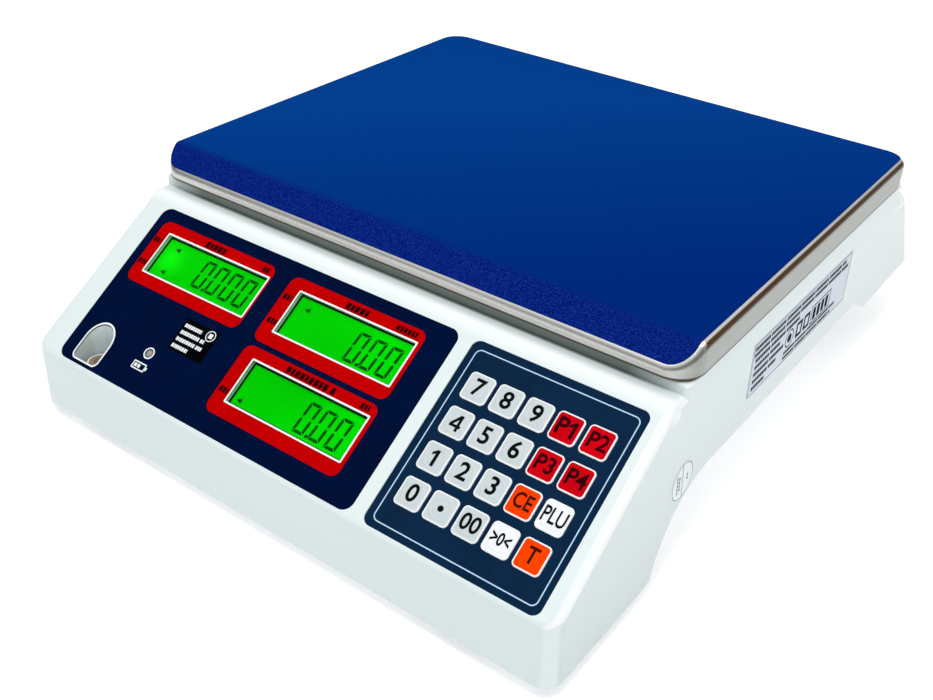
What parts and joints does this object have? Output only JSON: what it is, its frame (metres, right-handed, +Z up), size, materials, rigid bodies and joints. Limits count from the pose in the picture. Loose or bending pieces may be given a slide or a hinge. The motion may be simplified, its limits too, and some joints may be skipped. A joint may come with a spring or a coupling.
{
  "type": "price-computing retail scale",
  "caption": "Low counter scale: a flat steel pan with a blue cover film over a white housing, sloped console with LCD readouts and a numeric keypad, adjustable feet.",
  "frame": {"origin": "centre of the footprint at table level, under the feet", "axes": "+X to the operator's right, +Y away from the operator (depth), +Z up"},
  "size_m": [0.3432, 0.4366, 0.1283],
  "materials": {
    "housing_white": "satin moulded ABS",
    "base_plastic": "textured moulded ABS",
    "brass": "turned",
    "zinc_steel": "zinc plated",
    "display_film": "printed film, semi-gloss",
    "clear_window": "clear film",
    "lcd_green": "backlit display",
    "backlight": "diffuse",
    "circuit_board": "solder mask",
    "led_lens": "cloudy epoxy",
    "level_liquid": "tinted liquid",
    "keypad_film": "printed film, satin",
    "keypad_carrier": "moulded",
    "key_grey": "embossed film",
    "key_red": "embossed film",
    "key_orange": "embossed film",
    "key_white": "embossed film",
    "aluminium": "milled",
    "cast_aluminium": "as cast",
    "pad_rubber": "matte",
    "stainless": "brushed",
    "blue_film": "protective film",
    "foot_plastic": "moulded",
    "black_plastic": "moulded",
    "transformer_steel": "varnished laminations",
    "battery_case": "moulded",
    "label_film": "printed silver film"
  },
  "bodies": {
    "housing": {"upper_housing": "housing_white", "lower_housing": "base_plastic", "foot_inserts": "brass", "self_tapping_screws": "zinc_steel", "load_cell_bolts": "zinc_steel", "overload_stops": "zinc_steel", "chassis_plate": "zinc_steel", "display_overlay": "display_film", "rear_overlay": "display_film", "display_windows": "clear_window", "rear_windows": "clear_window", "lcd_modules": "lcd_green", "rear_lcds": "lcd_green", "lcd_backlights": "backlight", "display_board": "circuit_board", "keypad_board": "circuit_board", "rear_board": "circuit_board", "main_board": "circuit_board", "battery_led": "led_lens", "level_vial": "level_liquid", "keypad_overlay": "keypad_film", "keypad_frame": "keypad_carrier", "load_cell": "aluminium", "load_cell_spacer": "aluminium", "mains_inlet": "black_plastic", "switch_frame": "black_plastic", "power_transformer": "transformer_steel", "battery": "battery_case", "rating_label": "label_film"},
    "platform": {"platform_spacer": "aluminium", "platform_spider": "cast_aluminium", "platform_bolts": "zinc_steel", "platform_pads": "pad_rubber"},
    "pan": {"pan": "stainless", "pan_film": "blue_film"},
    "rocker": {"switch_rocker": "black_plastic"},
    "front_left_foot": {"foot_front_left": "foot_plastic"},
    "rear_left_foot": {"foot_rear_left": "foot_plastic"},
    "front_right_foot": {"foot_front_right": "foot_plastic"},
    "rear_right_foot": {"foot_rear_right": "foot_plastic"},
    "button_7": {"key_7": "key_grey"},
    "button_8": {"key_8": "key_grey"},
    "button_9": {"key_9": "key_grey"},
    "button_p1": {"key_p1": "key_red"},
    "button_p2": {"key_p2": "key_red"},
    "button_4": {"key_4": "key_grey"},
    "button_5": {"key_5": "key_grey"},
    "button_6": {"key_6": "key_grey"},
    "button_p3": {"key_p3": "key_red"},
    "button_p4": {"key_p4": "key_red"},
    "button_1": {"key_1": "key_grey"},
    "button_2": {"key_2": "key_grey"},
    "button_3": {"key_3": "key_grey"},
    "button_ce": {"key_ce": "key_orange"},
    "button_plu": {"key_plu": "key_white"},
    "button_0": {"key_0": "key_grey"},
    "button_dot": {"key_dot": "key_grey"},
    "button_00": {"key_00": "key_grey"},
    "button_zero": {"key_zero": "key_white"},
    "button_tare": {"key_tare": "key_orange"}
  },
  "joints": [
    {"name": "platform_travel", "type": "slide", "parent": "housing", "child": "platform", "axis": [0, 0, 1], "range_m": [-0.0005, 0], "stiffness_N_per_m": 100000, "springref_m": 0.0002, "deforming": ["load_cell"]},
    {"name": "pan_lift", "type": "slide", "parent": "platform", "child": "pan", "axis": [0, 0, 1], "range_m": [0, 0.06]},
    {"name": "power_rocker", "type": "hinge", "parent": "housing", "child": "rocker", "pos_m": [-0.1405, 0.015, 0.027], "axis": [0, 0, 1], "range_deg": [-16, 0]},
    {"name": "press_7", "type": "slide", "parent": "housing", "child": "button_7", "axis": [0, 0.5519, -0.8339], "range_m": [0, 0.0004], "stiffness_N_per_m": 1000, "springref_m": -0.0003},
    {"name": "press_8", "type": "slide", "parent": "housing", "child": "button_8", "axis": [0, 0.5519, -0.8339], "range_m": [0, 0.0004], "stiffness_N_per_m": 1000, "springref_m": -0.0003},
    {"name": "press_9", "type": "slide", "parent": "housing", "child": "button_9", "axis": [0, 0.5519, -0.8339], "range_m": [0, 0.0004], "stiffness_N_per_m": 1000, "springref_m": -0.0003},
    {"name": "press_p1", "type": "slide", "parent": "housing", "child": "button_p1", "axis": [0, 0.5519, -0.8339], "range_m": [0, 0.0004], "stiffness_N_per_m": 1000, "springref_m": -0.0003},
    {"name": "press_p2", "type": "slide", "parent": "housing", "child": "button_p2", "axis": [0, 0.5519, -0.8339], "range_m": [0, 0.0004], "stiffness_N_per_m": 1000, "springref_m": -0.0003},
    {"name": "press_4", "type": "slide", "parent": "housing", "child": "button_4", "axis": [0, 0.5519, -0.8339], "range_m": [0, 0.0004], "stiffness_N_per_m": 1000, "springref_m": -0.0003},
    {"name": "press_5", "type": "slide", "parent": "housing", "child": "button_5", "axis": [0, 0.5519, -0.8339], "range_m": [0, 0.0004], "stiffness_N_per_m": 1000, "springref_m": -0.0003},
    {"name": "press_6", "type": "slide", "parent": "housing", "child": "button_6", "axis": [0, 0.5519, -0.8339], "range_m": [0, 0.0004], "stiffness_N_per_m": 1000, "springref_m": -0.0003},
    {"name": "press_p3", "type": "slide", "parent": "housing", "child": "button_p3", "axis": [0, 0.5519, -0.8339], "range_m": [0, 0.0004], "stiffness_N_per_m": 1000, "springref_m": -0.0003},
    {"name": "press_p4", "type": "slide", "parent": "housing", "child": "button_p4", "axis": [0, 0.5519, -0.8339], "range_m": [0, 0.0004], "stiffness_N_per_m": 1000, "springref_m": -0.0003},
    {"name": "press_1", "type": "slide", "parent": "housing", "child": "button_1", "axis": [0, 0.5519, -0.8339], "range_m": [0, 0.0004], "stiffness_N_per_m": 1000, "springref_m": -0.0003},
    {"name": "press_2", "type": "slide", "parent": "housing", "child": "button_2", "axis": [0, 0.5519, -0.8339], "range_m": [0, 0.0004], "stiffness_N_per_m": 1000, "springref_m": -0.0003},
    {"name": "press_3", "type": "slide", "parent": "housing", "child": "button_3", "axis": [0, 0.5519, -0.8339], "range_m": [0, 0.0004], "stiffness_N_per_m": 1000, "springref_m": -0.0003},
    {"name": "press_ce", "type": "slide", "parent": "housing", "child": "button_ce", "axis": [0, 0.5519, -0.8339], "range_m": [0, 0.0004], "stiffness_N_per_m": 1000, "springref_m": -0.0003},
    {"name": "press_plu", "type": "slide", "parent": "housing", "child": "button_plu", "axis": [0, 0.5519, -0.8339], "range_m": [0, 0.0004], "stiffness_N_per_m": 1000, "springref_m": -0.0003},
    {"name": "press_0", "type": "slide", "parent": "housing", "child": "button_0", "axis": [0, 0.5519, -0.8339], "range_m": [0, 0.0004], "stiffness_N_per_m": 1000, "springref_m": -0.0003},
    {"name": "press_dot", "type": "slide", "parent": "housing", "child": "button_dot", "axis": [0, 0.5519, -0.8339], "range_m": [0, 0.0004], "stiffness_N_per_m": 1000, "springref_m": -0.0003},
    {"name": "press_00", "type": "slide", "parent": "housing", "child": "button_00", "axis": [0, 0.5519, -0.8339], "range_m": [0, 0.0004], "stiffness_N_per_m": 1000, "springref_m": -0.0003},
    {"name": "press_zero", "type": "slide", "parent": "housing", "child": "button_zero", "axis": [0, 0.5519, -0.8339], "range_m": [0, 0.0004], "stiffness_N_per_m": 1000, "springref_m": -0.0003},
    {"name": "press_tare", "type": "slide", "parent": "housing", "child": "button_tare", "axis": [0, 0.5519, -0.8339], "range_m": [0, 0.0004], "stiffness_N_per_m": 1000, "springref_m": -0.0003},
    {"name": "adjust_front_left", "type": "slide", "parent": "housing", "child": "front_left_foot", "axis": [0, 0, 1], "range_m": [0, 0.003]},
    {"name": "adjust_front_right", "type": "slide", "parent": "housing", "child": "front_right_foot", "axis": [0, 0, 1], "range_m": [0, 0.003]},
    {"name": "adjust_rear_left", "type": "slide", "parent": "housing", "child": "rear_left_foot", "axis": [0, 0, 1], "range_m": [0, 0.003]},
    {"name": "adjust_rear_right", "type": "slide", "parent": "housing", "child": "rear_right_foot", "axis": [0, 0, 1], "range_m": [0, 0.003]}
  ]
}
